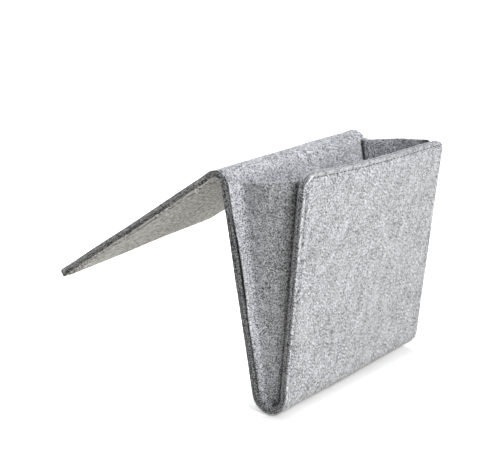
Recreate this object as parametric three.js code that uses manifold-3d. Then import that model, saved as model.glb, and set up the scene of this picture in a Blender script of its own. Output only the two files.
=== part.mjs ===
// A felt bedside caddy: a flap that tucks in beside the mattress, and a pocket that hangs from it.
// Two layers of felt, sewn together round their edge, run as one strip from the flap over the ridge,
// down the back, round the bottom and up the front. Two channel gussets close the pocket's sides.
// Millimetres, +Z up, the front of the pocket faces -Y, the width runs along X.
// The origin is the middle of the flap's top face.

import * as THREE from "three";
import { mergeVertices } from "three/addons/utils/BufferGeometryUtils.js";
import Module from "manifold-3d";

// Felt
const CADDY_WIDTH = 260;
const FELT_LAYER = 3.35;
const LAYER_GAP = 0.3;
const SECTION_GAP = 0.3;

// Straight lengths of the strip, each measured from the end of its bend
const FLAP_LENGTH = 222;
const BACK_LENGTH = 207;
const FRONT_LENGTH = 222;

// Bends, inside radius
const RIDGE_RADIUS = 8;
const BOTTOM_RADIUS = 13;

// How the strip stands, in degrees: the flap below level, the back and front from upright
const FLAP_DROOP = 33.2;
const BACK_LEAN = 10.2;
const FRONT_LEAN = 5.7;

// Rounded corners of the strip's two free ends
const FLAP_CORNER = 8;
const FRONT_CORNER = 20;

// Seam thread, lying in a groove that the stitching pulls into the felt
const SEAM_INSET = 4.5;
const THREAD_WIDTH = 1.0;
const THREAD_HEIGHT = 0.8;
const THREAD_PROUD = 0.1;
const THREAD_CLEARANCE = 0.3;

// Gussets: thinner felt, bent into a channel that opens outwards and narrows towards the bottom
const GUSSET_FELT = 3;
const GUSSET_CLEARANCE = 0.3;
const GUSSET_EDGE_INSET = 1;
const GUSSET_FLANGE_TOP = 6.5;
const GUSSET_FLANGE_BOTTOM = 5.5;
const GUSSET_FLANGE_LEAST = 1;
const GUSSET_BEND_TOP = 8.5;
const GUSSET_BEND_BOTTOM = 1.5;
const GUSSET_DROP_BACK = 4;
const GUSSET_WRAP = 45;

// Facets
const RIDGE_FACETS = 10;
const BOTTOM_FACETS = 16;
const CORNER_FACETS = 8;
const GUSSET_BEND_FACETS = 4;
const GUSSET_RINGS = 5;
const GUSSET_CORNER_RINGS = 3;
const WRAP_RINGS = 2;

const radians = THREE.MathUtils.degToRad;
const lerp = THREE.MathUtils.lerp;

const FACE_HEIGHT = LAYER_GAP / 2 + FELT_LAYER;
const RIDGE_SEAM_RADIUS = RIDGE_RADIUS + FACE_HEIGHT;
const BOTTOM_SEAM_RADIUS = BOTTOM_RADIUS + FACE_HEIGHT;
const GROOVE_WIDTH = THREAD_WIDTH + 2 * THREAD_CLEARANCE;
const GROOVE_DEPTH = THREAD_HEIGHT + THREAD_CLEARANCE - THREAD_PROUD;
const GROOVE_OVERRUN = 2 * SECTION_GAP;
const SEAM_X = CADDY_WIDTH / 2 - SEAM_INSET;

const wasm = await Module();
wasm.setup();

// Side profile: points and directions in the YZ plane, held as Vector2(y, z).
const polar = (angle) => new THREE.Vector2(Math.cos(angle), Math.sin(angle));
const along = (start, direction, length) => start.clone().addScaledVector(direction, length);

const backUp = polar(radians(90 - BACK_LEAN));
const backRear = polar(radians(-BACK_LEAN));
const frontUp = polar(radians(90 + FRONT_LEAN));
const frontOut = polar(radians(180 + FRONT_LEAN));
const flapTop = polar(radians(90 - FLAP_DROOP));
const flapAway = polar(radians(-FLAP_DROOP));

const bottomCentre = new THREE.Vector2(0, 0);
const backStart = along(bottomCentre, backRear, BOTTOM_SEAM_RADIUS);
const frontStart = along(bottomCentre, frontOut, BOTTOM_SEAM_RADIUS);
const backEnd = along(backStart, backUp, BACK_LENGTH);
const ridgeCentre = along(backEnd, backRear, RIDGE_SEAM_RADIUS);
const flapStart = along(ridgeCentre, flapTop, RIDGE_SEAM_RADIUS);
const flapMiddle = along(along(flapStart, flapAway, FLAP_LENGTH / 2), flapTop, FACE_HEIGHT);

// Felt and thread finishes
function finish(colour, roughness) {
  return new THREE.MeshStandardMaterial({ color: colour, roughness, metalness: 0 });
}

const panelFelt = () => finish(0xb6b8bb, 0.95);
const gussetFelt = () => finish(0xaeb0b5, 0.95);
const seamThread = () => finish(0x6c6e70, 0.8);

// A closed geometry as a solid that can be cut
function solidOf(geometry) {
  const bare = geometry.clone();
  bare.deleteAttribute("normal");
  bare.deleteAttribute("uv");
  const merged = mergeVertices(bare, 1e-4);
  return new wasm.Manifold(
    new wasm.Mesh({
      numProp: 3,
      vertProperties: new Float32Array(merged.attributes.position.array),
      triVerts: new Uint32Array(merged.index.array),
    }),
  );
}

function geometryOf(solid) {
  const mesh = solid.getMesh();
  const geometry = new THREE.BufferGeometry();
  geometry.setAttribute("position", new THREE.BufferAttribute(mesh.vertProperties, 3));
  geometry.setIndex(new THREE.BufferAttribute(mesh.triVerts, 1));
  geometry.computeVertexNormals();
  return geometry;
}

function cut(geometry, tools) {
  const solid = tools.reduce((rest, tool) => rest.subtract(solidOf(tool)), solidOf(geometry));
  return geometryOf(solid);
}

function extrude(shape, depth, from) {
  const geometry = new THREE.ExtrudeGeometry(shape, {
    depth,
    bevelEnabled: false,
    curveSegments: CORNER_FACETS,
  });
  return geometry.translate(0, 0, from);
}

// Panels lie flat in their own group: x across the width, y along the strip, z through the felt.

// A strip end as an outline from y = start to y = end, with rounded corners at its free end
function tongue(halfWidth, start, end, corner) {
  const shape = new THREE.Shape();
  shape.moveTo(-halfWidth, start);
  shape.lineTo(halfWidth, start);
  shape.lineTo(halfWidth, end - corner);
  shape.absarc(halfWidth - corner, end - corner, corner, 0, Math.PI / 2, false);
  shape.lineTo(corner - halfWidth, end);
  shape.absarc(corner - halfWidth, end - corner, corner, Math.PI / 2, Math.PI, false);
  shape.closePath();
  return shape;
}

function rectangle(left, right, low, high) {
  const shape = new THREE.Shape();
  shape.moveTo(left, low);
  shape.lineTo(right, low);
  shape.lineTo(right, high);
  shape.lineTo(left, high);
  shape.closePath();
  return shape;
}

// The seam line follows three sides of a tongue: a band of the given width along that line
function seamBand(length, corner, width, start) {
  const outer = SEAM_X + width / 2;
  const inner = outer - width;
  const outerCorner = Math.max(corner - SEAM_INSET, GROOVE_WIDTH) + width / 2;
  const innerCorner = outerCorner - width;
  const outerEnd = length - SEAM_INSET + width / 2;
  const innerEnd = outerEnd - width;
  const shape = new THREE.Shape();
  shape.moveTo(outer, start);
  shape.lineTo(outer, outerEnd - outerCorner);
  shape.absarc(outer - outerCorner, outerEnd - outerCorner, outerCorner, 0, Math.PI / 2, false);
  shape.lineTo(outerCorner - outer, outerEnd);
  shape.absarc(outerCorner - outer, outerEnd - outerCorner, outerCorner, Math.PI / 2, Math.PI, false);
  shape.lineTo(-outer, start);
  shape.lineTo(-inner, start);
  shape.lineTo(-inner, innerEnd - innerCorner);
  shape.absarc(innerCorner - inner, innerEnd - innerCorner, innerCorner, Math.PI, Math.PI / 2, true);
  shape.lineTo(inner - innerCorner, innerEnd);
  shape.absarc(inner - innerCorner, innerEnd - innerCorner, innerCorner, Math.PI / 2, 0, true);
  shape.lineTo(inner, start);
  shape.closePath();
  return shape;
}

// A thread or groove of a band shape on the face at z = +FACE_HEIGHT (side 1) or -FACE_HEIGHT (side -1)
function faceThread(shape, side) {
  const low = FACE_HEIGHT + THREAD_PROUD - THREAD_HEIGHT;
  return extrude(shape, THREAD_HEIGHT, side > 0 ? low : -low - THREAD_HEIGHT);
}

function faceGroove(shape, side) {
  const low = FACE_HEIGHT - GROOVE_DEPTH;
  const reach = 2 * GROOVE_DEPTH;
  return extrude(shape, reach, side > 0 ? low : -low - reach);
}

function layer(shape, side) {
  return extrude(shape, FELT_LAYER, side > 0 ? LAYER_GAP / 2 : -FACE_HEIGHT);
}

function mesh(name, geometry, material) {
  const made = new THREE.Mesh(geometry, material);
  made.name = name;
  return made;
}

// A group whose local y runs up the strip from a point of the side profile
function sectionGroup(start, degrees) {
  const group = new THREE.Group();
  group.position.set(0, start.x, start.y);
  group.rotation.x = radians(degrees);
  return group;
}

const sides = [
  ["left", -1],
  ["right", 1],
];

// Flap: local +z is its top face
function makeFlap() {
  const group = sectionGroup(flapStart, -FLAP_DROOP);
  const outline = tongue(CADDY_WIDTH / 2, SECTION_GAP, FLAP_LENGTH, FLAP_CORNER);
  const thread = seamBand(FLAP_LENGTH, FLAP_CORNER, THREAD_WIDTH, SECTION_GAP);
  const groove = seamBand(FLAP_LENGTH, FLAP_CORNER, GROOVE_WIDTH, -GROOVE_OVERRUN);
  group.add(
    mesh("flap_top_felt", cut(layer(outline, 1), [faceGroove(groove, 1)]), panelFelt()),
    mesh("flap_under_felt", cut(layer(outline, -1), [faceGroove(groove, -1)]), panelFelt()),
    mesh("flap_top_seam", faceThread(thread, 1), seamThread()),
    mesh("flap_under_seam", faceThread(thread, -1), seamThread()),
  );
  return group;
}

// Back: local +z faces into the pocket, -z is the rear face
function makeBack() {
  const group = sectionGroup(backStart, 90 - BACK_LEAN);
  const half = CADDY_WIDTH / 2;
  const outline = rectangle(-half, half, SECTION_GAP, BACK_LENGTH - SECTION_GAP);
  const grooves = [];
  for (const [side, sign] of sides) {
    const x = sign * SEAM_X;
    const edge = THREAD_WIDTH / 2;
    const thread = rectangle(x - edge, x + edge, SECTION_GAP, BACK_LENGTH - SECTION_GAP);
    const wall = GROOVE_WIDTH / 2;
    grooves.push(faceGroove(rectangle(x - wall, x + wall, -GROOVE_OVERRUN, BACK_LENGTH + GROOVE_OVERRUN), -1));
    group.add(mesh("back_seam_" + side, faceThread(thread, -1), seamThread()));
  }
  group.add(
    mesh("back_inner_felt", layer(outline, 1), panelFelt()),
    mesh("back_rear_felt", cut(layer(outline, -1), grooves), panelFelt()),
  );
  return group;
}

// Front: local +z is the front face, -z faces into the pocket
function makeFront() {
  const group = sectionGroup(frontStart, 90 + FRONT_LEAN);
  const outline = tongue(CADDY_WIDTH / 2, SECTION_GAP, FRONT_LENGTH, FRONT_CORNER);
  const thread = seamBand(FRONT_LENGTH, FRONT_CORNER, THREAD_WIDTH, SECTION_GAP);
  const groove = seamBand(FRONT_LENGTH, FRONT_CORNER, GROOVE_WIDTH, -GROOVE_OVERRUN);
  const topLine = FRONT_LENGTH - SEAM_INSET;
  const reach = CADDY_WIDTH / 2 - FRONT_CORNER;
  const edge = THREAD_WIDTH / 2;
  const topThread = rectangle(-reach, reach, topLine - edge, topLine + edge);
  const wall = GROOVE_WIDTH / 2;
  const end = reach + THREAD_CLEARANCE;
  const topGroove = rectangle(-end, end, topLine - wall, topLine + wall);
  group.add(
    mesh("front_outer_felt", cut(layer(outline, 1), [faceGroove(groove, 1)]), panelFelt()),
    mesh("front_inner_felt", cut(layer(outline, -1), [faceGroove(topGroove, -1)]), panelFelt()),
    mesh("front_outer_seam", faceThread(thread, 1), seamThread()),
    mesh("front_inner_seam", faceThread(topThread, -1), seamThread()),
  );
  return group;
}

// Part of a ring round an axis along X, between two radii and two angles in the YZ plane
function ringSector(inner, outer, from, to, facets, left, right) {
  const points = [];
  for (let i = 0; i <= facets; i += 1) {
    points.push(polar(lerp(from, to, i / facets)).multiplyScalar(outer));
  }
  for (let i = facets; i >= 0; i -= 1) {
    points.push(polar(lerp(from, to, i / facets)).multiplyScalar(inner));
  }
  const geometry = extrude(new THREE.Shape(points), right - left, left);
  const y = new THREE.Vector3(0, 1, 0);
  const z = new THREE.Vector3(0, 0, 1);
  const x = new THREE.Vector3(1, 0, 0);
  return geometry.applyMatrix4(new THREE.Matrix4().makeBasis(y, z, x));
}

// One bend of the strip: two layers, and the seam near each edge on the faces that are asked for
function makeBend(names, centre, radius, from, to, facets, seams) {
  const group = new THREE.Group();
  group.position.set(0, centre.x, centre.y);
  const half = CADDY_WIDTH / 2;
  const middle = radius + FACE_HEIGHT;
  const outside = middle + FACE_HEIGHT;
  const overrun = GROOVE_OVERRUN / radius;
  const faceOf = { inside: radius, outside };
  const grooves = { inside: [], outside: [] };
  for (const [face, seamName] of Object.entries(seams)) {
    const sign = face === "outside" ? 1 : -1;
    const top = faceOf[face] + sign * THREAD_PROUD;
    const foot = top - sign * THREAD_HEIGHT;
    const floor = faceOf[face] - sign * GROOVE_DEPTH;
    const clear = faceOf[face] + sign * GROOVE_DEPTH;
    for (const [side, direction] of sides) {
      const x = direction * SEAM_X;
      const low = Math.min(top, foot);
      const high = Math.max(top, foot);
      const edge = THREAD_WIDTH / 2;
      const wall = GROOVE_WIDTH / 2;
      const thread = ringSector(low, high, from, to, facets, x - edge, x + edge);
      group.add(mesh(seamName + side, thread, seamThread()));
      const near = Math.min(floor, clear);
      const far = Math.max(floor, clear);
      grooves[face].push(
        ringSector(near, far, from - overrun, from, 1, x - wall, x + wall),
        ringSector(near, far, from, to, facets, x - wall, x + wall),
        ringSector(near, far, to, to + overrun, 1, x - wall, x + wall),
      );
    }
  }
  const insideEdge = middle - LAYER_GAP / 2;
  const outsideEdge = middle + LAYER_GAP / 2;
  const insideLayer = ringSector(radius, insideEdge, from, to, facets, -half, half);
  const outsideLayer = ringSector(outsideEdge, outside, from, to, facets, -half, half);
  group.add(
    mesh(names.inside, cut(insideLayer, grooves.inside), panelFelt()),
    mesh(names.outside, cut(outsideLayer, grooves.outside), panelFelt()),
  );
  return group;
}

function makeRidge() {
  return makeBend(
    { inside: "ridge_under_felt", outside: "ridge_top_felt" },
    ridgeCentre,
    RIDGE_RADIUS,
    radians(90 - FLAP_DROOP),
    radians(180 - BACK_LEAN),
    RIDGE_FACETS,
    { inside: "ridge_under_seam_", outside: "ridge_top_seam_" },
  );
}

function makeBottom() {
  return makeBend(
    { inside: "bottom_inner_felt", outside: "bottom_outer_felt" },
    bottomCentre,
    BOTTOM_RADIUS,
    radians(FRONT_LEAN - 180),
    radians(-BACK_LEAN),
    BOTTOM_FACETS,
    { outside: "bottom_seam_" },
  );
}

// The front's rounded corner cuts the gusset's flange back, and the gusset ends where it is narrowest
const cornerCut = Math.min(GUSSET_FLANGE_TOP - GUSSET_EDGE_INSET - GUSSET_FLANGE_LEAST, FRONT_CORNER);
const cornerRise = Math.sqrt(FRONT_CORNER ** 2 - (FRONT_CORNER - cornerCut) ** 2);
const cornerFoot = FRONT_LENGTH - FRONT_CORNER;
const gussetFrontTop = cornerFoot + cornerRise;
const gussetBackTop = BACK_LENGTH - GUSSET_DROP_BACK;

function frontEdgeInset(height) {
  const above = Math.max(height - cornerFoot, 0);
  return GUSSET_EDGE_INSET + FRONT_CORNER - Math.sqrt(FRONT_CORNER ** 2 - above ** 2);
}

// Gusset section: a channel outline in (across, inward), across from the back's face to the front's,
// inward from the panels' edge. The channel opens towards the edge.
function channelOutline({ gap, flange, bend, frontInset }) {
  const foot = GUSSET_CLEARANCE;
  const face = foot + GUSSET_FELT;
  const half = (inset) => {
    const open = [new THREE.Vector2(face, inset)];
    const closed = [new THREE.Vector2(foot, inset)];
    const centre = new THREE.Vector2(face + bend, flange);
    for (let i = 0; i <= GUSSET_BEND_FACETS; i += 1) {
      const turn = polar(Math.PI - (i / GUSSET_BEND_FACETS) * (Math.PI / 2));
      open.push(along(centre, turn, bend));
      closed.push(along(centre, turn, bend + GUSSET_FELT));
    }
    return { open, closed };
  };
  const back = half(GUSSET_EDGE_INSET);
  const front = half(frontInset);
  const across = (point) => new THREE.Vector2(gap - point.x, point.y);
  const openFar = front.open.map(across).reverse();
  const closedFar = front.closed.map(across);
  return [...back.open, ...openFar, ...closedFar, ...back.closed.reverse()];
}

// The thread that sews a flange down, as a small rectangle on the flange's open face
function flangeThread(fromBack, gap) {
  const low = GUSSET_CLEARANCE + GUSSET_FELT + THREAD_CLEARANCE;
  const near = fromBack ? low : gap - low - THREAD_HEIGHT;
  const far = near + THREAD_HEIGHT;
  const left = SEAM_INSET - THREAD_WIDTH / 2;
  const right = left + THREAD_WIDTH;
  return rectangle(near, far, left, right).getPoints();
}

// Where the gusset crosses the side profile at the bottom bend, wrapped by an angle in degrees
function wrapStation(wrap) {
  const back = polar(radians(-BACK_LEAN - wrap)).multiplyScalar(BOTTOM_RADIUS);
  const front = polar(radians(180 + FRONT_LEAN + wrap)).multiplyScalar(BOTTOM_RADIUS);
  return { back: back.add(bottomCentre), front: front.add(bottomCentre), rise: 0, height: 0 };
}

// The same above the bend, at a share of the gusset's height
function riseStation(rise) {
  const foot = wrapStation(0);
  const height = rise * gussetFrontTop;
  const back = along(foot.back, backUp, rise * gussetBackTop);
  return { back, front: along(foot.front, frontUp, height), rise, height };
}

// Even steps from one value to another, without the last one
function steps(from, to, count) {
  return Array.from({ length: count }, (_, i) => lerp(from, to, i / count));
}

// Rings of equal point counts joined into one closed skin, with a cap at each end
function loft(rings, outline) {
  const count = outline.length;
  const positions = rings.flat().flatMap((point) => point.toArray());
  const faces = [];
  for (let ring = 0; ring < rings.length - 1; ring += 1) {
    for (let i = 0; i < count; i += 1) {
      const a = ring * count + i;
      const b = ring * count + ((i + 1) % count);
      faces.push(a, b, a + count, b, b + count, a + count);
    }
  }
  const last = (rings.length - 1) * count;
  for (const [a, b, c] of THREE.ShapeUtils.triangulateShape(outline, [])) {
    faces.push(a, c, b, last + a, last + b, last + c);
  }
  const geometry = new THREE.BufferGeometry();
  geometry.setAttribute("position", new THREE.Float32BufferAttribute(positions, 3));
  geometry.setIndex(faces);
  return geometry;
}

// Lofts a section through stations on the left side; the right side is its mirror image
function sideLoft(stations, section) {
  let outline = [];
  const rings = stations.map(({ back, front, rise, height }) => {
    const span = front.clone().sub(back);
    const gap = span.length();
    const direction = span.normalize();
    outline = section({
      gap,
      flange: lerp(GUSSET_FLANGE_BOTTOM, GUSSET_FLANGE_TOP, rise),
      bend: lerp(GUSSET_BEND_BOTTOM, GUSSET_BEND_TOP, rise),
      frontInset: frontEdgeInset(height),
    });
    return outline.map((point) => {
      const place = along(back, direction, point.x);
      return new THREE.Vector3(point.y - CADDY_WIDTH / 2, place.x, place.y);
    });
  });
  const geometry = loft(rings, outline);
  geometry.computeVertexNormals();
  return geometry;
}

function makeGussets() {
  const group = new THREE.Group();
  const bendRise = cornerFoot / gussetFrontTop;
  const wraps = steps(GUSSET_WRAP, 0, WRAP_RINGS);
  const rounded = cornerRise > 0 ? steps(bendRise, 1, GUSSET_CORNER_RINGS) : [];
  const rises = [...steps(0, bendRise, GUSSET_RINGS), ...rounded, 1];
  const felt = [...wraps.map(wrapStation), ...rises.map(riseStation)];
  const backRun = [0, 1].map(riseStation);
  const frontRun = [0, bendRise].map(riseStation);
  for (const [side, sign] of sides) {
    const gusset = mesh("gusset_" + side, sideLoft(felt, channelOutline), gussetFelt());
    const backSeam = sideLoft(backRun, ({ gap }) => flangeThread(true, gap));
    const frontSeam = sideLoft(frontRun, ({ gap }) => flangeThread(false, gap));
    const made = [
      gusset,
      mesh("gusset_back_seam_" + side, backSeam, seamThread()),
      mesh("gusset_front_seam_" + side, frontSeam, seamThread()),
    ];
    for (const piece of made) {
      piece.scale.x = -sign;
      group.add(piece);
    }
  }
  return group;
}

const strip = new THREE.Group();
strip.position.set(0, -flapMiddle.x, -flapMiddle.y);
strip.add(makeFlap(), makeRidge(), makeBack(), makeBottom(), makeFront(), makeGussets());

const caddy = new THREE.Group();
caddy.name = "bedside_caddy";
caddy.add(strip);

export default caddy;
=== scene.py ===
import math

import bmesh
import bpy
from mathutils import Matrix, Vector


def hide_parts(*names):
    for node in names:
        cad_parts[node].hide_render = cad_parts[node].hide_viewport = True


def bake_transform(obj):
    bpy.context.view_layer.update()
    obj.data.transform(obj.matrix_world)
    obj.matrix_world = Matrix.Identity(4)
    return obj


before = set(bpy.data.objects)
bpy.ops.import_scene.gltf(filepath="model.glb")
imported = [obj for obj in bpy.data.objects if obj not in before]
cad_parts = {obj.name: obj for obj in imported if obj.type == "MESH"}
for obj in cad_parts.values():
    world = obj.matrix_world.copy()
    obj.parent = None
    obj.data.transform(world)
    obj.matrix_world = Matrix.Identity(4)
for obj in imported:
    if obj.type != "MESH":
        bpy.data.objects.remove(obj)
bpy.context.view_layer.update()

MM = 0.001

# Sizes in millimetres and angles in degrees, the same as the solids'
WIDTH = 260.0
HALF = WIDTH / 2
FLAP, BACK, FRONT = 222.0, 207.0, 222.0
RIDGE_R, BOTTOM_R = 11.5, 16.5
DROOP, BACK_LEAN, FRONT_LEAN = 33.2, 10.2, 5.7
FACE = 3.5
SEAM = 4.5

# Felt where it is finer than the solids: half the slit between its layers, a longer tip, rounded
# edges, corners on the left and right, and the seam's furrow
SPLIT = 0.1
LAYER = FACE - SPLIT
TIP_SPARE = 8.9
FLAP_ROUND, FRONT_ROUND, INNER_ROUND = 1.2, 1.8, 0.3
FLAP_CORNERS = (3.0, 3.0)
FRONT_CORNERS = (20.0, 10.0)
SEAM_DIP, DIP_HALF = 0.8, 1.7

# Felt swells at its cut rim and at the flap's tip, and the tip is rounded
RIM_SWELL, RIM_REACH = 0.2, 3.0
TIP_SWELL, TIP_REACH, SWELL_END = 0.3, 10.0, 40.0
TIP_ROUND, TIP_THIN = 8.0, 0.3

# The flap's underside is puffed out between the seams, fading to the root and the tip
FLAP_PUFF = 1.6
PUFF_SIDE, PUFF_TIP = 6.2, 8.0
PUFF_ROOT, PUFF_FULL = 6.0, 26.0

# How the soft panels stand in the photograph, away from true
FLAP_TWIST, FLAP_RISE = 5.7, 1.6
FLAP_SAG, SAG_ROOT, SAG_FULL = 1.1, 13.0, 8.0
FRONT_SKEW = 3.4
FRONT_RISE = 3.5
FRONT_SAG = 4.0
FAR_HANG, FAR_PART = 2.0, 0.6
FAR_LIFT, LIFT_FADE = 2.2, 60.0

# Unevenness: height, then how slowly it changes across and along, then its start
WAVES = ((0.22, 23.0, 41.0, 0.0), (0.18, 37.0, -19.0, 1.3))


def turn(degrees):
    """The way in (y, z) at an angle from the y axis."""
    a = math.radians(degrees)
    return Vector((math.cos(a), math.sin(a)))


# Side profile in (y, z), from the centre of the bottom bend
BACK_UP, BACK_REAR = turn(90 - BACK_LEAN), turn(-BACK_LEAN)
FRONT_UP, FRONT_OUT = turn(90 + FRONT_LEAN), turn(180 + FRONT_LEAN)
FLAP_TOP, FLAP_AWAY = turn(90 - DROOP), turn(-DROOP)
BACK_FOOT = BACK_REAR * BOTTOM_R
FRONT_FOOT = FRONT_OUT * BOTTOM_R
RIDGE = BACK_FOOT + BACK_UP * BACK + BACK_REAR * RIDGE_R
FLAP_ROOT = RIDGE + FLAP_TOP * RIDGE_R
ORIGIN = FLAP_ROOT + FLAP_AWAY * (FLAP / 2) + FLAP_TOP * FACE

# Lengths along the strip, from the end of the flap's solid to the front's top edge
RIDGE_TURN = 180 - BACK_LEAN - (90 - DROOP)
BOTTOM_TURN = 180 - BACK_LEAN - FRONT_LEAN
RIDGE_END = FLAP + math.radians(RIDGE_TURN) * RIDGE_R
BACK_END = RIDGE_END + BACK
BOTTOM_END = BACK_END + math.radians(BOTTOM_TURN) * BOTTOM_R
STRIP = BOTTOM_END + FRONT
MIDDLE = RIDGE_END + BACK / 2
UPPER = MIDDLE + TIP_SPARE
LOWER = STRIP - MIDDLE


def share(value, start, end):
    """How far a value has come from start to end, from 0 to 1."""
    return min(1.0, max(0.0, (value - start) / (end - start)))


def in_frame(x, p):
    """A point p of the side profile at x across, in the part's frame in metres."""
    return Vector((x, p[0] - ORIGIN[0], p[1] - ORIGIN[1])) * MM


def strip_line(s):
    """The strip's middle line at length s, and the way its top or inner layer faces."""
    if s <= FLAP:
        return FLAP_ROOT + FLAP_AWAY * (FLAP - s), FLAP_TOP
    if s <= RIDGE_END:
        out = turn(90 - DROOP + math.degrees((s - FLAP) / RIDGE_R))
        return RIDGE + out * RIDGE_R, out
    if s <= BACK_END:
        return BACK_FOOT + BACK_UP * (BACK_END - s), -BACK_REAR
    if s <= BOTTOM_END:
        out = turn(-BACK_LEAN - math.degrees((s - BACK_END) / BOTTOM_R))
        return out * BOTTOM_R, -out
    return FRONT_FOOT + FRONT_UP * (s - BOTTOM_END), -FRONT_OUT


def wave(x, s):
    """Slow unevenness of soft felt, under half a millimetre."""
    return sum(
        height * math.sin(x / across + s / along + start) for height, across, along, start in WAVES
    )


def front_lean(x, height):
    """How far the front stands off its plane at a height, because it is more open at one side."""
    return -FRONT_SKEW * (x / HALF) * (height / FRONT)


def bottom_lift(x, height):
    """How far the bottom bend is drawn up toward its far end, less and less up the panels."""
    return FAR_LIFT * max(0.0, x / HALF) ** 2 * (1 - share(height, 0, LIFT_FADE))


def strip_point(x, s, h):
    """Where a point of the flat strip lies: x across, s along, h above the middle line."""
    across = x / HALF
    if s > BOTTOM_END:
        up = s - BOTTOM_END
        hang = FAR_HANG * share(across, FAR_PART, 1) ** 2
        sag = FRONT_SAG * (1 - across**2)
        s = BOTTOM_END + up - (FRONT_RISE * across + hang + sag) * (up / FRONT) ** 2
    if s < SWELL_END:
        h *= 1 + TIP_SWELL * math.exp(-(s + TIP_SPARE) / TIP_REACH)
    p, n = strip_line(s)
    p = p + n * (h + wave(x, s))
    away = max((FLAP - s) / FLAP, 0.0)
    rooted = FLAP_SAG * share(s, FLAP + SAG_ROOT, FLAP - SAG_FULL)
    flap_sag = rooted * (1 - away**2) * (1 - across) / 2
    p = p + Vector((0, (FLAP_TWIST * across + FLAP_RISE) * away - flap_sag))
    if s > BOTTOM_END:
        p = p + Vector((front_lean(x, s - BOTTOM_END), 0))
    return in_frame(x, p + Vector((0, bottom_lift(x, max(s - BOTTOM_END, BACK_END - s)))))


# Felt's tone: a swing is its change over the whole range of a noise, and scales are per millimetre;
# fibres have a scale and a swing each, and the tone's upper limit is higher on cut felt
GRAIN_SWING = 6.0
FIBRES = ((0.3, -1.25), (0.45, 0.6))
FIBRE_WIDTH = 0.055
CLOUD_SCALE, CLOUD_SWING = 0.12, 1.7
SPECK_SCALE, SPECK_SWING = 0.8, 22.0
DARKEST, PALEST, PALEST_CUT = 0.14, 1.5, 1.1
# Darkening by the cut attribute: cut edges, painted shade and, below zero, painted highlights
CUT_DARKENS = -0.88
SEED_STEPS = (1.0, 1.7, 0.6)
BUMP_STRENGTH = 0.4
FELT_RELIEF, THREAD_RELIEF = 0.0004, 0.0003
THREAD_DARK, THREAD_PALE = (0.04, 0.041, 0.044), (0.08, 0.082, 0.087)
THREAD_PLY = 700.0


def material(name):
    made = bpy.data.materials.new(name)
    made.use_nodes = True
    made.node_tree.nodes.clear()
    return made


def node(tree, kind, **sockets):
    made = tree.nodes.new(kind)
    for name, value in sockets.items():
        made.inputs[name.replace("_", " ")].default_value = value
    return made


def attribute(tree, name):
    made = tree.nodes.new("ShaderNodeAttribute")
    made.attribute_name = name
    return made


def noise(tree, vector, scale, detail, **sockets):
    made = node(tree, "ShaderNodeTexNoise", Scale=scale, Detail=detail, **sockets)
    tree.links.new(vector, made.inputs["Vector"])
    return made.outputs["Fac"]


def maths(tree, operation, *values, clamp=False):
    made = tree.nodes.new("ShaderNodeMath")
    made.operation = operation
    made.use_clamp = clamp
    for socket, value in zip(made.inputs, values):
        if isinstance(value, (int, float)):
            socket.default_value = value
        else:
            tree.links.new(value, socket)
    return made.outputs[0]


def ramp(tree, value, stops):
    made = tree.nodes.new("ShaderNodeValToRGB")
    points = made.color_ramp.elements
    for point, (at, colour) in zip(points, stops):
        point.position = at
        point.color = (*colour, 1)
    tree.links.new(value, made.inputs["Fac"])
    return made.outputs["Color"]


def dress(tree, colour, height, relief, **sockets):
    """The end of a material: a shader with its colour, and fine relief in metres from a height."""
    body = node(tree, "ShaderNodeBsdfPrincipled", **sockets)
    tree.links.new(colour, body.inputs["Base Color"])
    bump = node(tree, "ShaderNodeBump", Strength=BUMP_STRENGTH, Distance=relief)
    tree.links.new(height, bump.inputs["Height"])
    tree.links.new(bump.outputs["Normal"], body.inputs["Normal"])
    out = tree.nodes.new("ShaderNodeOutputMaterial")
    tree.links.new(body.outputs["BSDF"], out.inputs["Surface"])


def fibres(tree, spot, scale):
    """Thin curly lines, 1 on a fibre and 0 off it."""
    field = noise(tree, spot, scale, 3, Roughness=0.55, Distortion=1.3)
    away = maths(tree, "ABSOLUTE", maths(tree, "ADD", field, -0.5))
    return maths(tree, "MULTIPLY_ADD", away, -1 / FIBRE_WIDTH, 1.0, clamp=True)


def nap_tone(tree, spot, nap_turn, scale, stretch, contrast):
    """Lighter and darker grains, curly fibres and clouds, drawn out along the felt's nap."""
    nap = tree.nodes.new("ShaderNodeMapping")
    nap.vector_type = "TEXTURE"
    nap.inputs["Rotation"].default_value = (0, 0, math.radians(nap_turn))
    nap.inputs["Scale"].default_value = (1, stretch, 1)
    tree.links.new(spot, nap.inputs["Vector"])
    laid = nap.outputs[0]
    grains = noise(tree, laid, scale, 2, Roughness=0.65)
    clouds = noise(tree, laid, CLOUD_SCALE, 3, Roughness=0.6)
    grain = GRAIN_SWING * contrast
    tone = maths(tree, "MULTIPLY_ADD", grains, grain, 1 - grain / 2)
    for fibre_scale, swing in FIBRES:
        tone = maths(tree, "MULTIPLY_ADD", fibres(tree, laid, fibre_scale), swing, tone)
    tone = maths(tree, "ADD", tone, -CLOUD_SWING / 2)
    return maths(tree, "MULTIPLY_ADD", clouds, CLOUD_SWING, tone)


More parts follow.
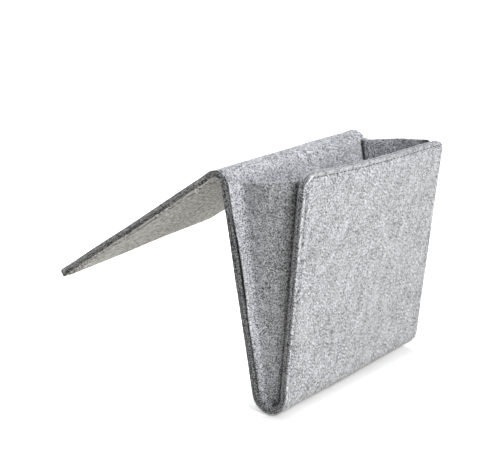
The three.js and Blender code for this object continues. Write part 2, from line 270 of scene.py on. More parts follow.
def felt(name, seed, tint, nap, under=None):
    """Grey mottled felt, darkened where cut and by painted shade, lightened by painted highlights; under
    is the flap underside's tint, partly painted floor-bounce light, and its nap.
    """
    made = material(name)
    tree = made.node_tree
    link = tree.links.new
    spot = tree.nodes.new("ShaderNodeVectorMath")
    spot.operation = "MULTIPLY_ADD"
    spot.inputs[1].default_value = (1 / MM, 1 / MM, 1 / MM)
    spot.inputs[2].default_value = [seed * step for step in SEED_STEPS]
    link(attribute(tree, "flat").outputs["Vector"], spot.inputs[0])
    tone = nap_tone(tree, spot.outputs[0], **nap)
    grey = tree.nodes.new("ShaderNodeVectorMath")
    grey.operation = "SCALE"
    grey.inputs[0].default_value = tint
    if under:
        under_tint, under_nap = under
        on_flap = attribute(tree, "on_flap").outputs["Fac"]
        change = maths(tree, "SUBTRACT", nap_tone(tree, spot.outputs[0], **under_nap), tone)
        tone = maths(tree, "MULTIPLY_ADD", change, on_flap, tone)
        link(ramp(tree, on_flap, [(0.0, tint), (1.0, under_tint)]), grey.inputs[0])
    # The cut attribute darkens cut edges and also carries painted shade, and painted highlights where it
    # is below zero
    cut = attribute(tree, "cut").outputs["Fac"]
    specks = maths(tree, "ADD", noise(tree, spot.outputs[0], SPECK_SCALE, 1), -0.5)
    raw = maths(tree, "MULTIPLY", maths(tree, "POWER", cut, 2.0), SPECK_SWING)
    tone = maths(tree, "MULTIPLY_ADD", specks, raw, tone)
    palest = maths(tree, "MULTIPLY_ADD", cut, PALEST_CUT, PALEST)
    tone = maths(tree, "MINIMUM", maths(tree, "MAXIMUM", tone, DARKEST), palest)
    shade = maths(tree, "MULTIPLY_ADD", cut, CUT_DARKENS, 1.0)
    link(maths(tree, "MULTIPLY", tone, shade), grey.inputs["Scale"])
    dress(
        tree, grey.outputs[0], tone, FELT_RELIEF, Roughness=0.96, Specular_IOR_Level=0.12,
        Sheen_Weight=0.16, Sheen_Roughness=0.6,
    )
    return made


def thread():
    """Grey sewing thread with fine ridges."""
    made = material("sewing_thread")
    tree = made.node_tree
    ply = node(tree, "ShaderNodeTexWave", Scale=THREAD_PLY, Distortion=1.0)
    tree.links.new(attribute(tree, "flat").outputs["Vector"], ply.inputs["Vector"])
    grey = ramp(tree, ply.outputs["Fac"], [(0.1, THREAD_DARK), (0.9, THREAD_PALE)])
    dress(tree, grey, ply.outputs["Fac"], THREAD_RELIEF, Roughness=0.8, Specular_IOR_Level=0.2)
    return made


# An edge is sharp from this angle in radians; lengths this near are taken as the same
SHARP = 1.0
SAME, NEAR = 1e-5, 0.01


def round_off(bm, edges, offset):
    bmesh.ops.bevel(
        bm, geom=edges, offset=offset, offset_type="OFFSET", segments=3, profile=0.5,
        affect="EDGES", material=-1,
    )


def slice_at(bm, co, no, clear=False):
    everything = bm.verts[:] + bm.edges[:] + bm.faces[:]
    bmesh.ops.bisect_plane(
        bm, geom=everything, dist=SAME, plane_co=co, plane_no=no, clear_outer=clear
    )


def piece(name, bm, surface):
    """A finished bmesh as a piece of the object."""
    mesh = bpy.data.meshes.new(name)
    bm.to_mesh(mesh)
    bm.free()
    mesh.materials.append(surface)
    made = bpy.data.objects.new(name, mesh)
    bpy.context.scene.collection.objects.link(made)
    return made


# Where a flat layer's mesh is cut: rings along the seam's furrow, columns, and rows close in the bends
FURROW_RINGS = (2.0, 2.8, 3.6, 4.5, 5.4, 6.2)
COLUMN_STEP, COLUMNS = 10, range(-12, 13)
PANEL_STEP, RIDGE_STEP, BOTTOM_STEP = 8, 1.1, 1.5
TIP_CLEAR, TOP_CLEAR = 10, 22
SPARE_END = 30.0


def edge_distance(x, y, length, corners):
    """How far a point of a flat tongue is from its outline, at its sides, free end and round corners."""
    side, end = HALF - abs(x), length - y
    corner = corners[x > 0]
    if side < corner and end < corner:
        return corner - math.hypot(corner - side, corner - end)
    return min(side, end)


def dip(distance):
    """The stitching pulls a furrow into the felt along the seam."""
    off = abs(distance - SEAM)
    return SEAM_DIP * (1 - (off / DIP_HALF) ** 2) if off < DIP_HALF else 0.0


def flat_layer(length, corners, rows, outer_round):
    """One felt layer laid flat, its free end rounded, cut square at y = 0, with the seam's furrow."""
    bm = bmesh.new()
    bmesh.ops.create_grid(bm, x_segments=1, y_segments=1, size=0.5)
    bmesh.ops.scale(bm, vec=(WIDTH, length + SPARE_END, 1), verts=bm.verts)
    bmesh.ops.translate(bm, vec=(0, (length - SPARE_END) / 2, 0), verts=bm.verts)
    for side, corner in zip((-1, 1), corners):
        end = max(bm.verts, key=lambda v: v.co.y + side * v.co.x)
        bmesh.ops.bevel(
            bm, geom=[end], offset=corner, offset_type="OFFSET", segments=8, profile=0.5,
            affect="VERTICES", material=-1,
        )
    round_seam = min(corners) > FURROW_RINGS[-1]
    inner = bm.faces[:]
    done = 0.0
    for ring in FURROW_RINGS if round_seam else ():
        bmesh.ops.inset_region(
            bm, faces=inner, thickness=ring - done, use_boundary=True, use_even_offset=True
        )
        done = ring
    extruded = bmesh.ops.extrude_face_region(bm, geom=bm.faces[:])
    raised = [g for g in extruded["geom"] if isinstance(g, bmesh.types.BMVert)]
    bmesh.ops.translate(bm, vec=(0, 0, LAYER), verts=raised)
    bmesh.ops.recalc_face_normals(bm, faces=bm.faces)
    for height, offset in ((LAYER, outer_round), (0.0, INNER_ROUND)):
        rim = [
            e for e in bm.edges
            if all(abs(v.co.z - height) < SAME for v in e.verts) and e.calc_face_angle(0) > SHARP
        ]
        round_off(bm, rim, offset)
    for ring in () if round_seam else FURROW_RINGS:
        slice_at(bm, (ring - HALF, 0, 0), (1, 0, 0))
        slice_at(bm, (HALF - ring, 0, 0), (1, 0, 0))
        slice_at(bm, (0, length - ring, 0), (0, 1, 0))
    for y in rows:
        slice_at(bm, (0, y, 0), (0, 1, 0))
    for i in COLUMNS:
        slice_at(bm, (i * COLUMN_STEP, 0, 0), (1, 0, 0))
    slice_at(bm, (0, 0, 0), (0, -1, 0), clear=True)
    for face in bm.faces:
        face.smooth = True
    open_rim = [e for e in bm.edges if e.is_boundary]
    for e in open_rim:
        e.smooth = False
    bmesh.ops.holes_fill(bm, edges=open_rim, sides=0)
    for v in bm.verts:
        if v.co.z > LAYER - NEAR:
            v.co.z -= dip(edge_distance(v.co.x, v.co.y, length, corners))
    return bm


def rows_between(start, end, step):
    count = max(1, math.ceil((end - start) / step))
    return [start + (end - start) * i / count for i in range(1, count + 1)]


UPPER_ROWS = (
    rows_between(0, MIDDLE - RIDGE_END, PANEL_STEP)
    + rows_between(MIDDLE - RIDGE_END, MIDDLE - FLAP, RIDGE_STEP)
    + rows_between(MIDDLE - FLAP, UPPER - TIP_CLEAR, PANEL_STEP)
)
LOWER_ROWS = (
    rows_between(0, BACK_END - MIDDLE, PANEL_STEP)
    + rows_between(BACK_END - MIDDLE, BOTTOM_END - MIDDLE, BOTTOM_STEP)
    + rows_between(BOTTOM_END - MIDDLE, LOWER - TOP_CLEAR, PANEL_STEP)
)

# Each half of the strip: length, corners, rows, rounding of its outer edge, and its way along the strip
HALVES = {
    "upper": (UPPER, FLAP_CORNERS, UPPER_ROWS, FLAP_ROUND, -1),
    "lower": (LOWER, FRONT_CORNERS, LOWER_ROWS, FRONT_ROUND, 1),
}

# How dark the panels' cut edges and furrows are, from 0 to 1, and where each begins and ends; cut felt is
# darker of itself, but its paler top edge is a painted highlight, the darkness between the layers and
# along the back's inner edge by the gusset (DEEP) is painted shade, the furrows' darkness is painted
# shade, and the flap's top rim is a painted highlight; the two layers' patterns are read far apart, so
# that they differ
ON_EDGE = 0.04
CUT, DEEP = 0.84, 0.95
FRONT_PALER, TOP_PALER, TOP_REACH = 0.12, 0.58, 8.0
BACK_CUT, BACK_RIM = 0.7, 3.0
# The flap top layer's rounding is a painted highlight and its cut face is painted paler, fading out
# toward the ridge
FLAP_RIM_HIGHLIGHT, FLAP_CUT_PALER, FLAP_HIGHLIGHT_DEPTH = 0.3, 0.6, 0.1
FLAP_PALER_ROOT, FLAP_PALER_FULL = 10.0, 5.0
FACE_DEPTH = 1.0
# Painted shade in the seam's furrows: along the front's near side edge, and on the flap's underside
FRONT_FURROW_SHADE, FRONT_FURROW_REACH, FRONT_FURROW_END = 0.36, (2.7, 6.3), (5, 25)
FLAP_FURROW_SHADE, FLAP_FURROW_REACH = 0.5, (4, 7)
NAP_ROOT, NAP_FULL = 10.0, 2.0
GRAIN_APART = 40


def cut_shade(z, distance, s, outer_round, pale):
    """Cut felt is dark, less so on the front; its paler top edge is a painted highlight, its darkest part
    between the layers is painted shade, and a rounding that is not pale, as on the far side, takes the
    cut's darkness as painted shade.
    """
    # painted shade between the layers
    if z < INNER_ROUND and distance > ON_EDGE:
        return DEEP
    if distance > ON_EDGE and (pale or distance > outer_round - NEAR):
        return 0.0
    # painted highlight: the top edge is paler where light falls from above
    paler = TOP_PALER * share(s, STRIP - TOP_REACH, STRIP)
    return CUT - FRONT_PALER * share(s, BACK_END, BOTTOM_END) - paler


def felt_shade(half, side, x, z, s, distance, end):
    """How dark a point of a layer is: its cut edge, a painted highlight on the flap's top rim, and
    painted shade in its furrows and along the back's inner edge by the gusset.
    """
    outer_round = FLAP_ROUND if half == "upper" else FRONT_ROUND
    on_back = RIDGE_END < s < BACK_END
    # only the outer layer's roundings on the near side stay pale; the others take the cut's darkness, a
    # painted shade
    shade = cut_shade(z, distance, s, outer_round, side < 0 and x < 0 and not on_back)
    # inner layer by the back's side edges: a paler cut face, and painted shadow in the crevice beside the
    # gusset
    if on_back and side > 0 and distance < BACK_RIM:
        shade = BACK_CUT if distance < ON_EDGE else DEEP
    # painted highlight on the flap top layer's rounding, and a paler cut face
    if half == "upper" and side > 0 and distance < outer_round:
        flap_paler = FLAP_RIM_HIGHLIGHT if z > LAYER - outer_round + FLAP_HIGHLIGHT_DEPTH else FLAP_CUT_PALER
        shade += (flap_paler - shade) * share(s, FLAP + FLAP_PALER_ROOT, FLAP - FLAP_PALER_FULL)
    if side > 0 or z <= LAYER - FACE_DEPTH:
        return shade
    low, high = FRONT_FURROW_REACH
    # painted shade in the seam's furrow along the front's near edge, fading out toward the top
    if s > BOTTOM_END and low < HALF + x < high:
        shade = FRONT_FURROW_SHADE * share(end, *FRONT_FURROW_END)
    low, high = FLAP_FURROW_REACH
    # painted shade in the seam's furrow on the flap's underside
    if s < FLAP and low < distance < high:
        shade = FLAP_FURROW_SHADE
    return shade


def felt_height(side, x, z, s, distance, end):
    """How far a point of a layer stands off the strip's middle line."""
    h = side * (SPLIT + z) * (1 + RIM_SWELL * math.exp(-((distance / RIM_REACH) ** 2)))
    if s < FLAP and end < TIP_ROUND:
        h *= TIP_THIN + (1 - TIP_THIN) * math.sqrt(1 - share(end, TIP_ROUND, 0) ** 2)
    if s < FLAP and side < 0:
        fade = share(s, FLAP - PUFF_ROOT, FLAP - PUFF_FULL) * share(end, 0, PUFF_TIP)
        h -= FLAP_PUFF * share(HALF - abs(x), SEAM, PUFF_SIDE) * fade
    return h


def felt_layer(name, half, side, surface):
    """Half of a felt layer, bent to its place: side 1 is the top or inner layer, -1 the other."""
    length, corners, rows, outer_round, way = HALVES[half]
    bm = flat_layer(length, corners, rows, outer_round)
    flat = bm.verts.layers.float_vector.new("flat")
    cut = bm.verts.layers.float.new("cut")
    on_flap = bm.verts.layers.float.new("on_flap")
    for v in bm.verts:
        x, y, z = v.co
        s, end = MIDDLE + way * y, length - y
        distance = edge_distance(x, y, length, corners)
        h = felt_height(side, x, z, s, distance, end)
        v[cut] = felt_shade(half, side, x, z, s, distance, end)
        v[on_flap] = share(s, FLAP + NAP_ROOT, FLAP - NAP_FULL)
        v[flat] = Vector((x, s, h + GRAIN_APART * side)) * MM
        v.co = strip_point(x, s, h)
    bmesh.ops.recalc_face_normals(bm, faces=bm.faces)
    return piece(name, bm, surface)


# Stitches in millimetres: every second one slants the other way, and the lower half's lie deeper
# along the sides, where their way is nearly the strip's
STITCH, STITCH_GAP = 4.6, 2.0
STITCH_WIDE, STITCH_HIGH = 1.4, 0.9
STITCH_SLANTS = (-0.03, 0.05)
STITCH_PROUD, SIDE_SUNK, SIDE_WAY = 0.12, 0.3, 0.9
SEAM_CORNER = 0.5
TOP_ROW_REACH = 7


def seam_line(length, corners):
    """A function for the seam's place and way (x, y, way x, way y) along it, and its whole length."""
    side, end = HALF - SEAM, length - SEAM

    def half(corner):
        radius = max(corner - SEAM, SEAM_CORNER)
        return radius, end - radius, radius * math.pi / 2, side - radius

    totals = [sum(half(corner)[1:]) for corner in corners]

    def at(u):
        mirrored = u > totals[0]
        u = sum(totals) - u if mirrored else u
        radius, straight, arc, _ = half(corners[mirrored])
        if u < straight:
            x, y, tx, ty = -side, u, 0.0, 1.0
        elif u < straight + arc:
            a = (u - straight) / radius
            x, y = -side + radius - radius * math.cos(a), straight + radius * math.sin(a)
            tx, ty = math.sin(a), math.cos(a)
        else:
            x, y, tx, ty = -side + radius + u - straight - arc, end, 1.0, 0.0
        return (-x, y, tx, -ty) if mirrored else (x, y, tx, ty)

    return at, sum(totals)


def stitch(bm, x, y, tx, ty, h):
    """One stitch in flat space: a short round thread, its ends dipping into the felt."""
    along, across, up = Vector((tx, ty, 0)), Vector((ty, -tx, 0)), Vector((0, 0, 1))
    axes = across * STITCH_WIDE, up * STITCH_HIGH, along * STITCH
    basis = Matrix(axes).transposed().to_4x4()
    basis.translation = Vector((x, y, h))
    bmesh.ops.create_uvsphere(bm, u_segments=6, v_segments=4, radius=0.5, matrix=basis)


def seam_stitches(name, half, side, surface, after=-math.inf, before=math.inf):
    """The stitches of one face of half the strip, between two lengths along the strip."""
    length, corners, _, _, way = HALVES[half]
    at, total = seam_line(length, corners)
    bm = bmesh.new()
    count = int(total / (STITCH + STITCH_GAP))
    pitch = total / count
    for i in range(count):
        x, y, tx, ty = at((i + 0.5) * pitch)
        if after < MIDDLE + way * y < before:
            slant = STITCH_SLANTS[i % 2]
            sunk = SIDE_SUNK if half == "lower" and abs(ty) > SIDE_WAY else 0.0
            height = FACE - SEAM_DIP + STITCH_PROUD - sunk
            stitch(bm, x, y, tx + slant * ty, ty - slant * tx, height)
    flat = bm.verts.layers.float_vector.new("flat")
    for v in bm.verts:
        v[flat] = v.co * MM
        v.co = strip_point(v.co.x, MIDDLE + way * v.co.y, side * v.co.z)
    for face in bm.faces:
        face.smooth = True
    bmesh.ops.recalc_face_normals(bm, faces=bm.faces)
    return piece(name, bm, surface)


# Gussets: felt channels, their open side outwards, a little bowed by their own spring
GUSSET_FELT, GUSSET_OFF = 3.0, 0.25
GUSSET_ROUND, FLANGE_ROUND = 0.8, 2.0
FLANGE_FOOT, BEND_FOOT, FOOT_INSET = 5.5, 1.5, 2.5
FLANGE_LEAST, CORNER_CLEAR = 2.2, 1.0
INSET_RISE = 0.3
PEEL, PEEL_CURVE = 0.9, 1.5
PEEL_AT, PEEL_SPAN = 0.62, 0.5
WALL_CROWD = 1.5
WALL_MIDDLE = (0.0, 100.0)

# The gusset's grid: columns of each part from the back to the front, and rows from the foot up
BACK_FLANGE, BACK_BEND, WALL, FRONT_BEND, FRONT_FLANGE = range(5)
PART_COLUMNS = (2, 8, 16, 8, 2)
GUSSET_COLUMNS = sum(PART_COLUMNS)
WALL_START = sum(PART_COLUMNS[:WALL])
WALL_END = sum(PART_COLUMNS[:FRONT_BEND])
GUSSET_ROWS = 39
TOP_ROW = 0.008
FOOT_SHARE, FOOT_WRAP = 0.08, 60.0

# How dark the gusset is, from 0 to 1: rises are shares of its height, and folds are in columns; the front
# fold's darkening and the black slit are painted shade, the paler back bend and top edge painted
# highlights
FOOT_DARK, FOOT_RISE = 0.6, (0.02, -0.05)
RIM_DARK, RIM_RISE = 0.6, (0.3, 0.1)
# painted shade in the front fold
FOLD_DARK, FOLD_CURVE = 0.97, 1.5
FOLD_FROM, FOLD_TO = WALL_END - 4.5, WALL_END - 1.5
# painted black shadow in the far gusset's slit at its back bend
SLIT_FROM, SLIT_TO = WALL_START - 1, WALL_START - 3
# painted highlight on the near gusset's back bend, where the light falls on it
BEND_HIGHLIGHT, BEND_FULL = 0.12, WALL_START - 5
# painted highlight on the gusset's top edge, lit from above
TOP_EDGE_PALER, TOP_EDGE_RISE = 0.4, 0.999
RIM_ZONE, FACES_FRONT = 2, -0.8


class Gusset:
    """One gusset: pairs are its back and front, shade is a painted shade over all its felt, and the rest
    is how its felt has settled.
    """

    def __init__(self, side, heights, flanges, bends, insets, bow, lift, drop, peel, shade):
        self.side, self.heights = side, heights
        self.flanges, self.bends, self.insets = flanges, bends, insets
        self.bow, self.lift, self.drop, self.peel, self.shade = bow, lift, drop, peel, shade


def gusset_part(column):
    """The part of the channel that a column is in, and how far through it."""
    part = 0
    while column > PART_COLUMNS[part] and part < FRONT_FLANGE:
        column -= PART_COLUMNS[part]
        part += 1
    return part, column / PART_COLUMNS[part]


def gusset_line(part, t, gap, flanges, bends, insets, peel):
    """The channel's open face in (across from the back, in from the edge) at t of one of its parts."""
    near = GUSSET_OFF + GUSSET_FELT
    if part == BACK_FLANGE:
        return near + peel * (1 - t) ** PEEL_CURVE, insets[0] + (flanges[0] - insets[0]) * t
    if part == BACK_BEND:
        a = t * math.pi / 2
        return near + bends[0] * (1 - math.cos(a)), flanges[0] + bends[0] * math.sin(a)
    if part == WALL:
        start, end = near + bends[0], gap - near - bends[1]
        t = 1 - (1 - t) ** WALL_CROWD
        depth = flanges[0] + bends[0]
        return start + (end - start) * t, depth + (flanges[1] + bends[1] - depth) * t
    if part == FRONT_BEND:
        a = (1 - t) * math.pi / 2
        return gap - near - bends[1] * (1 - math.cos(a)), flanges[1] + bends[1] * math.sin(a)
    return gap - near - PEEL * t**PEEL_CURVE, flanges[1] + (insets[1] - flanges[1]) * t


def front_inset(kind, up, height, flange):
    """How far in from the edge the front flange ends, clear of the front's round corner."""
    corner = FRONT_CORNERS[kind.side > 0]
    above = min(corner, max(0.0, height - (FRONT - corner)))
    inset = FOOT_INSET + (kind.insets[1] - FOOT_INSET) * share(up, 0, INSET_RISE)
    inset = max(inset, CORNER_CLEAR + corner - math.sqrt(corner**2 - above**2))
    return min(inset, flange - FLANGE_LEAST)


def gusset_point(kind, column, rise):
    """A point of a gusset's open face, in the part's frame."""
    part, t = gusset_part(column)
    wrap = FOOT_WRAP * max(0.0, -rise / FOOT_SHARE)
    up = max(0.0, rise)
    if part == BACK_FLANGE:
        up *= 1 + kind.lift * (1 - t)
    if part > WALL:
        up *= 1 - kind.drop * min(1.0, t + part - FRONT_BEND)
    inner = BOTTOM_R - FACE
    back = turn(-BACK_LEAN - wrap) * inner + BACK_UP * (up * kind.heights[0])
    height = up * kind.heights[1]
    front = turn(180 + FRONT_LEAN + wrap) * inner + FRONT_UP * height
    front = front + Vector((front_lean(kind.side * HALF, height), 0))
    span = front - back
    gap = span.length
    flanges = [FLANGE_FOOT + (flange - FLANGE_FOOT) * up for flange in kind.flanges]
    bends = [BEND_FOOT + (bend - BEND_FOOT) * min(up, 1.0) for bend in kind.bends]
    insets = kind.insets[0], front_inset(kind, up, height, flanges[1])
    crest = max(0.0, math.cos(math.pi * (up - PEEL_AT) / PEEL_SPAN))
    peel = PEEL + (kind.peel - PEEL) * crest
    off, depth = gusset_line(part, t, gap, flanges, bends, insets, peel)
    reach = off / gap
    depth -= kind.bow * up**2 * math.sin(math.pi * reach) ** 2
    x = kind.side * (HALF - depth)
    return in_frame(x, back + span * reach + Vector((0, bottom_lift(x, height))))


def gusset_rise(step):
    """Height of a row of the gusset's grid as a share of the whole, with a close row at the top."""
    last = GUSSET_ROWS - 1
    if step > last:
        return 1.0
    return -FOOT_SHARE + (1 + FOOT_SHARE - TOP_ROW) * step / last


def gusset_shade(column, rise, dark_slit):
    """The foot and the raw side edges are darker, the front fold is painted shade, the top edge and the
    near gusset's back bend are painted highlights, and the far gusset's back slit is a painted black
    shadow.
    """
    foot = FOOT_DARK * share(rise, *FOOT_RISE)
    rim = RIM_DARK * share(rise, *RIM_RISE) if column in (0, GUSSET_COLUMNS) else 0.0
    # painted shade in the front fold, beside the front panel's edge
    fold = FOLD_DARK * share(column, FOLD_FROM, FOLD_TO) ** FOLD_CURVE
    # painted black shadow in the slit
    slit = share(column, SLIT_FROM, SLIT_TO) if dark_slit else 0.0
    # painted highlight on the near gusset's back bend
    pale = 0.0 if dark_slit else BEND_HIGHLIGHT * share(column, WALL_START, BEND_FULL)
    # the paler top edge is a painted highlight
    return max(foot, rim, fold, slit) - pale - TOP_EDGE_PALER * (rise > TOP_EDGE_RISE)


def sharp_edges(bm):
    return [e for e in bm.edges if e.calc_face_angle(0) > SHARP]


def on_flange_rim(edge):
    """Whether an edge is on the outer rim of the back flange's open face."""
    outer = min(abs(v.co.x) for v in edge.verts) > (HALF - RIM_ZONE) * MM
    return outer and min(face.normal.y for face in edge.link_faces) < FACES_FRONT


def gusset(name, kind, surface):
    """One gusset from a flat grid: bent into its channel, thickened, its raw edges rounded."""
    bm = bmesh.new()
    bmesh.ops.create_grid(bm, x_segments=GUSSET_COLUMNS, y_segments=GUSSET_ROWS, size=0.5)
    flat = bm.verts.layers.float_vector.new("flat")
    cut = bm.verts.layers.float.new("cut")
    for v in bm.verts:
        column = round((v.co.x + 0.5) * GUSSET_COLUMNS)
        rise = gusset_rise(round((v.co.y + 0.5) * GUSSET_ROWS))
        # kind.shade adds painted shade over the whole gusset
        v[cut] = min(1.0, kind.shade + gusset_shade(column, rise, kind.side > 0))
        v.co = gusset_point(kind, column, rise)
    bmesh.ops.recalc_face_normals(bm, faces=bm.faces)
    middle = in_frame(kind.side * HALF, WALL_MIDDLE)
    wall = min(bm.faces, key=lambda f: (f.calc_center_median() - middle).length)
    if wall.normal.x * kind.side < 0:
        bmesh.ops.reverse_faces(bm, faces=bm.faces)
    bmesh.ops.solidify(bm, geom=bm.faces[:], thickness=GUSSET_FELT * MM)
    bmesh.ops.recalc_face_normals(bm, faces=bm.faces)
    round_off(bm, [e for e in sharp_edges(bm) if on_flange_rim(e)], FLANGE_ROUND * MM)
    round_off(bm, sharp_edges(bm), GUSSET_ROUND * MM)
    for face in bm.faces:
        face.smooth = True
    for v in bm.verts:
        v[flat] = v.co.yzx
    return piece(name, bm, surface)


# The camera and the studio, in metres and degrees
SENSOR, LENS = 36, 111.75
CAMERA_PLACE = (-1.27025, -0.93158, 0.36486)
CAMERA_DOWN, CAMERA_TURN = 14.486, -55.07
WHITE = (1, 1, 1, 1)
FILL_COLOUR, FILL_STRENGTH = (0.87, 0.94, 1, 1), 0.125
FLOOR_HALF, FLOOR_DROP = 12, 0.0012
FLOOR_BOUNCE, FLOOR_SEEN = (0.86, 0.83, 0.75, 1), (0.86, 0.86, 0.86, 1)
WHITE_NEAR, WHITE_RISE = 0.03, 15.0


def camera():
    """The photograph's viewpoint."""
    data = bpy.data.cameras.new("camera")
    data.sensor_width = SENSOR
    data.lens = LENS
    made = bpy.data.objects.new("camera", data)
    made.location = CAMERA_PLACE
    made.rotation_euler = (math.radians(90 - CAMERA_DOWN), 0, math.radians(CAMERA_TURN))
    bpy.context.scene.collection.objects.link(made)
    bpy.context.scene.camera = made


def soft_light(name, place, target, size, power):
    data = bpy.data.lights.new(name, "AREA")
    data.shape = "RECTANGLE"
    data.size, data.size_y = size
    data.energy = power
    made = bpy.data.objects.new(name, data)
    made.location = place
    made.rotation_euler = (Vector(target) - Vector(place)).to_track_quat("-Z", "Y").to_euler()
    bpy.context.scene.collection.objects.link(made)


def shown(tree):
    """1 for what the camera sees, straight on, mirrored or through glass."""
    rays = tree.nodes.new("ShaderNodeLightPath")
    glossy, through = rays.outputs["Is Glossy Ray"], rays.outputs["Is Transmission Ray"]
    return maths(tree, "MAXIMUM", rays.outputs["Is Camera Ray"], maths(tree, "MAXIMUM", glossy, through))


def room():
    """An even pale room that gives a little cool light and is white where it is seen."""
    world = bpy.data.worlds.new("room")
    bpy.context.scene.world = world
    world.use_nodes = True
    tree = world.node_tree
    tree.nodes.clear()
    fill = node(tree, "ShaderNodeBackground", Color=FILL_COLOUR, Strength=FILL_STRENGTH)
    plain = node(tree, "ShaderNodeBackground", Color=WHITE, Strength=1.0)
    mix = tree.nodes.new("ShaderNodeMixShader")
    out = tree.nodes.new("ShaderNodeOutputWorld")
    tree.links.new(shown(tree), mix.inputs[0])
    tree.links.new(fill.outputs[0], mix.inputs[1])
    tree.links.new(plain.outputs[0], mix.inputs[2])
    tree.links.new(mix.outputs[0], out.inputs["Surface"])


def floor_paper():
    """White paper that keeps the shadow under the object, and glows white away from it where seen."""
    made = material("floor_paper")
    tree = made.node_tree
    link = tree.links.new
    seen = shown(tree)
    tint = tree.nodes.new("ShaderNodeMix")
    tint.data_type = "RGBA"
    bounce, plain = [socket for socket in tint.inputs if socket.type == "RGBA"]
    bounce.default_value = FLOOR_BOUNCE
    plain.default_value = FLOOR_SEEN
    link(seen, tint.inputs[0])
    matt = tree.nodes.new("ShaderNodeBsdfDiffuse")
    link([socket for socket in tint.outputs if socket.type == "RGBA"][0], matt.inputs["Color"])
    place = tree.nodes.new("ShaderNodeTexCoord")
    axes = tree.nodes.new("ShaderNodeSeparateXYZ")
    link(place.outputs["Object"], axes.inputs[0])
    beside = maths(tree, "ADD", maths(tree, "ABSOLUTE", axes.outputs["X"]), -HALF * MM)
    beside = maths(tree, "MAXIMUM", beside, 0.0)
    before = maths(tree, "ADD", axes.outputs["Y"], -in_frame(0, (0, 0))[1])
    far = maths(tree, "MULTIPLY_ADD", before, before, maths(tree, "MULTIPLY", beside, beside))
    far = maths(tree, "SQRT", far)
    white = maths(tree, "MULTIPLY_ADD", far, WHITE_RISE, WHITE_NEAR, clamp=True)
    glow = node(tree, "ShaderNodeEmission", Color=WHITE)
    link(maths(tree, "MULTIPLY", seen, white), glow.inputs["Strength"])
    both = tree.nodes.new("ShaderNodeAddShader")
    out = tree.nodes.new("ShaderNodeOutputMaterial")
    link(matt.outputs[0], both.inputs[0])
    link(glow.outputs[0], both.inputs[1])
    link(both.outputs[0], out.inputs["Surface"])
    return made


def paper_floor():
    """A flat floor just under the bottom bend."""
    bm = bmesh.new()
    bmesh.ops.create_grid(bm, x_segments=1, y_segments=1, size=FLOOR_HALF)
    mesh = bpy.data.meshes.new("floor")
    bm.to_mesh(mesh)
    bm.free()
    mesh.materials.append(floor_paper())
    floor = bpy.data.objects.new("floor", mesh)
    floor.location.z = in_frame(0, (0, -BOTTOM_R - FACE))[2] - FLOOR_DROP
    bpy.context.scene.collection.objects.link(floor)


camera()
room()
paper_floor()
soft_light("key", place=(-0.72, -1.85, 0.95), target=(0, -0.06, -0.05), size=(1.1, 1.3), power=47)
soft_light("back", place=(0.6, 1.55, 0.4), target=(0, 0.05, -0.1), size=(1.2, 0.7), power=54)
soft_light("top", place=(0.05, -0.06, 1.45), target=(0, -0.06, 0), size=(0.6, 0.6), power=8)
bpy.context.scene.view_settings.view_transform = "Standard"

# The felts: tint, and nap with its turn in degrees, grains per millimetre, stretch and contrast
TINT = (0.506, 0.517, 0.549)
# The flap underside's less blue tint is partly painted warm light bounced from the floor
UNDERSIDE_TINT_AND_BOUNCE = (0.486, 0.486, 0.483)
# The gusset felt's darker, bluer tint is partly its own colour and partly painted shade and cool fill
# light on its walls
SIDE_TINT = (0.461, 0.473, 0.506)
PANEL_NAP = {"nap_turn": -28, "scale": 1.68, "stretch": 3.3, "contrast": 2.1}
REVERSE_NAP = {"nap_turn": -84, "scale": 0.9, "stretch": 5.0, "contrast": 2.0}
SIDE_NAP = {"nap_turn": 0, "scale": 0.95, "stretch": 1.0, "contrast": 1.8}
PANEL_SEED, REVERSE_SEED, SIDE_SEED = 0, 23, 57
panel = felt("panel_felt", PANEL_SEED, TINT, PANEL_NAP)
reverse = felt("reverse_felt", REVERSE_SEED, TINT, PANEL_NAP, under=(UNDERSIDE_TINT_AND_BOUNCE, REVERSE_NAP))
side_felt = felt("gusset_felt", SIDE_SEED, SIDE_TINT, SIDE_NAP)
sewing = thread()

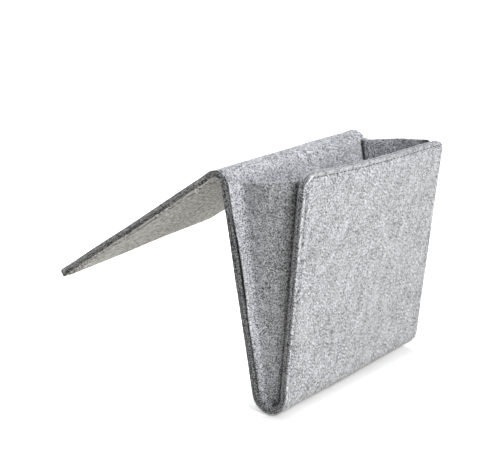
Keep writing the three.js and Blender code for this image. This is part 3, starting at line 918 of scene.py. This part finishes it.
top_upper = felt_layer("top_felt_upper", "upper", 1, panel)
under_upper = felt_layer("under_felt_upper", "upper", -1, reverse)
inner_lower = felt_layer("inner_felt_lower", "lower", 1, panel)
outer_lower = felt_layer("outer_felt_lower", "lower", -1, panel)

top_seam = seam_stitches("top_stitches", "upper", 1, sewing, before=RIDGE_END)
under_seam = seam_stitches("under_stitches", "upper", -1, sewing)
inner_seam = seam_stitches("inner_stitches", "lower", 1, sewing, after=STRIP - TOP_ROW_REACH)
outer_seam = seam_stitches("outer_stitches", "lower", -1, sewing)

LEFT = Gusset(
    -1, heights=(205.8, 215.4), flanges=(6.5, 9.5), bends=(8.5, 5.5), insets=(0.6, 5.5),
    bow=5.0, lift=0.035, drop=0.0, peel=4.0, shade=0.0,
)
# The far gusset is painted darker all over: painted shade inside the pocket
RIGHT = Gusset(
    1, heights=(211.7, 217.9), flanges=(7.0, 7.0), bends=(3.0, 3.0), insets=(0.6, 3.0),
    bow=8.0, lift=0.0, drop=0.02, peel=PEEL, shade=0.31,
)
left_gusset = gusset("gusset_felt_left", LEFT, side_felt)
right_gusset = gusset("gusset_felt_right", RIGHT, side_felt)

for made in (top_upper, under_upper, top_seam, under_seam):
    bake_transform(made)
for made in (inner_lower, outer_lower, inner_seam, outer_seam):
    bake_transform(made)
for made in (left_gusset, right_gusset):
    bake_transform(made)

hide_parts("flap_top_felt", "ridge_top_felt", "back_inner_felt")
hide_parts("flap_under_felt", "ridge_under_felt", "back_rear_felt")
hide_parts("bottom_inner_felt", "front_inner_felt", "back_inner_felt")
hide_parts("bottom_outer_felt", "front_outer_felt", "back_rear_felt")
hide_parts("flap_top_seam", "ridge_top_seam_left", "ridge_top_seam_right")
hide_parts("flap_under_seam", "ridge_under_seam_left", "ridge_under_seam_right")
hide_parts("back_seam_left", "back_seam_right")
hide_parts("bottom_seam_left", "bottom_seam_right", "front_outer_seam")
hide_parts("back_seam_left", "back_seam_right")
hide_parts("front_inner_seam")
for side, made in (("left", left_gusset), ("right", right_gusset)):
    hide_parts("gusset_" + side, "gusset_back_seam_" + side, "gusset_front_seam_" + side)
